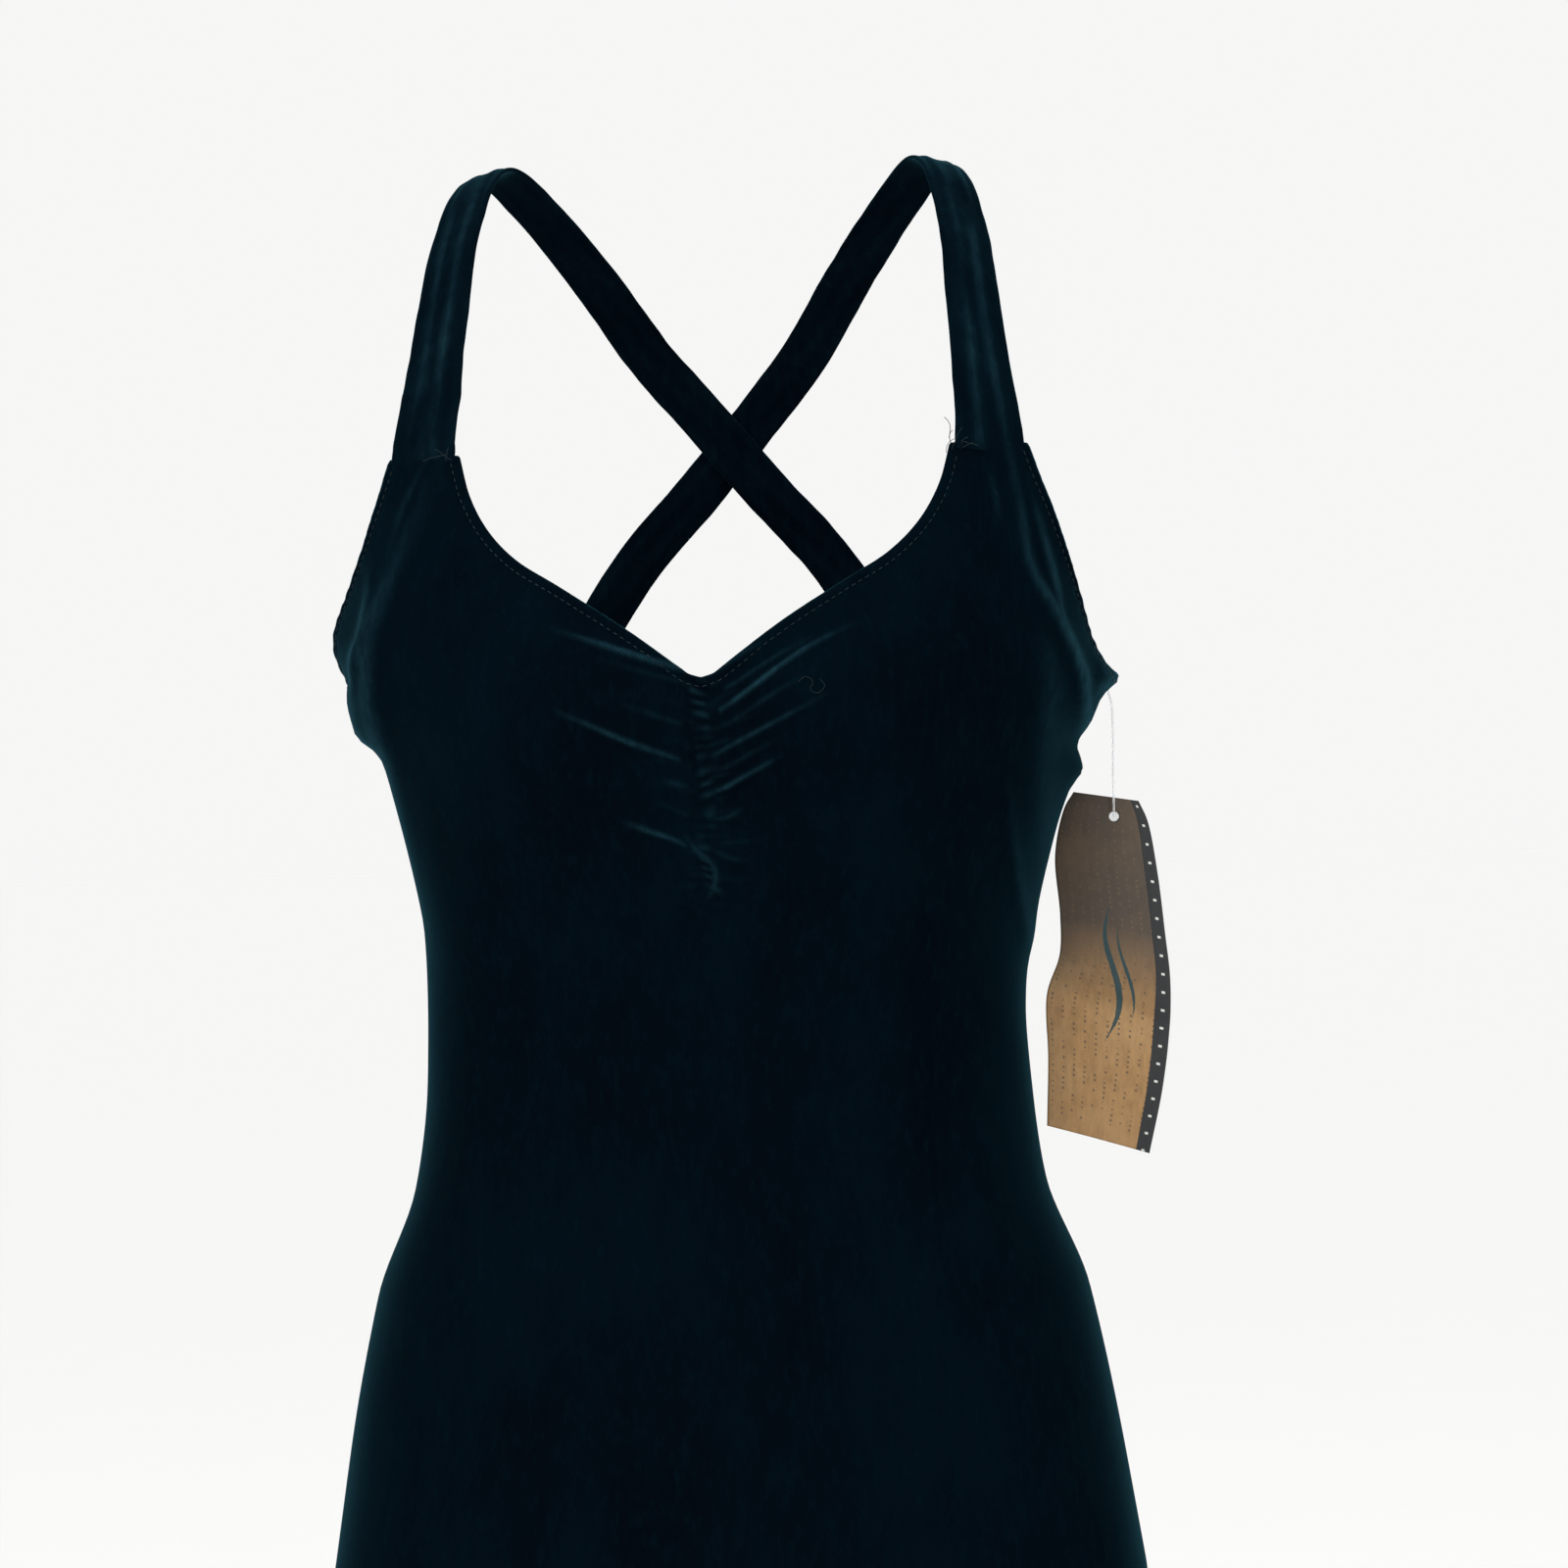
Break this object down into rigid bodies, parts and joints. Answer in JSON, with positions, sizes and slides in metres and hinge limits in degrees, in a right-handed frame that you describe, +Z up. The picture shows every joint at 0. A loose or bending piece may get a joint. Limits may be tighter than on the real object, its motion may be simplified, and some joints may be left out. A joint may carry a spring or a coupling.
{
  "type": "leotard",
  "caption": "Sleeveless velvet leotard with a gathered sweetheart neckline, straps that cross at the back, and a swinging hang tag.",
  "frame": {"origin": "midway between the shoulders, level with the undersides of the straps where they rest on them", "axes": "+Z up along the wearer's spine, -Y the way the wearer faces, +X the wearer's left"},
  "size_m": [0.343, 0.2268, 0.6566],
  "materials": {
    "velvet": "short-pile stretch velvet with a teal sheen",
    "elastic": "woven",
    "lining": "smooth knit",
    "cotton": "matte knit",
    "overlock": "overlocked thread",
    "satin": "satin ribbon",
    "nylon": "clear moulded nylon",
    "card": "matte kraft card"
  },
  "bodies": {
    "leotard": {"front_panel": "velvet", "back_panel": "velvet", "strap_left": "velvet", "strap_right": "velvet", "strap_elastic_left": "elastic", "strap_elastic_right": "elastic", "neck_elastic_front": "elastic", "neck_elastic_back": "elastic", "armhole_elastic_left": "elastic", "armhole_elastic_right": "elastic", "leg_elastic_left": "elastic", "leg_elastic_right": "elastic", "pinch_elastic": "elastic", "bust_lining": "lining", "underbust_elastic": "elastic", "gusset_lining": "cotton", "side_seam_left": "overlock", "side_seam_right": "overlock", "size_label": "satin", "care_label": "satin"},
    "tag_barb": {"tag_barb": "nylon"},
    "hang_tag": {"hang_tag": "card"}
  },
  "joints": [
    {"name": "barb_swing", "type": "hinge", "parent": "leotard", "child": "tag_barb", "pos_m": [0.152, 0.0065, -0.2096], "axis": [1, 0, 0], "range_deg": [-35, 35]},
    {"name": "tag_swing", "type": "hinge", "parent": "tag_barb", "child": "hang_tag", "pos_m": [0.156, 0.0065, -0.2636], "axis": [0, 1, 0], "range_deg": [-45, 1]}
  ]
}
